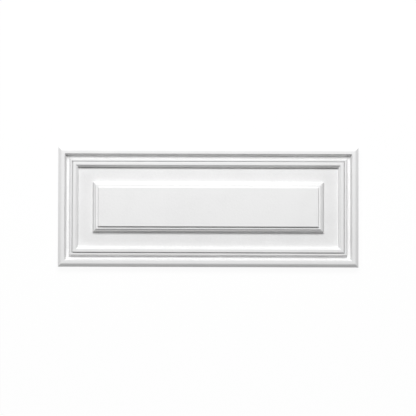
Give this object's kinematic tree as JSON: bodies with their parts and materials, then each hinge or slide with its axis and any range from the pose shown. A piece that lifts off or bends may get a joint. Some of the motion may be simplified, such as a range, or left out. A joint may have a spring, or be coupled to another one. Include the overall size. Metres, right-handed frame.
{
  "type": "three-dimensional wall panel",
  "caption": "Rectangular raised-and-fielded wall panel, moulded in one piece: mitred border of roll, ogee, step and bead round a sunk field and a raised centre; bonds flat to a wall.",
  "frame": {"origin": "middle of the flat back, on the wall side", "axes": "+X along the panel's length, +Y up the wall as the picture shows it, +Z out of the wall towards the viewer; stored lying on its back"},
  "size_m": [0.55, 0.219, 0.0205],
  "materials": {
    "primed_foam": "smooth factory primer, satin-matt white"
  },
  "bodies": {
    "root": {"wall_panel": "primed_foam"}
  },
  "joints": []
}
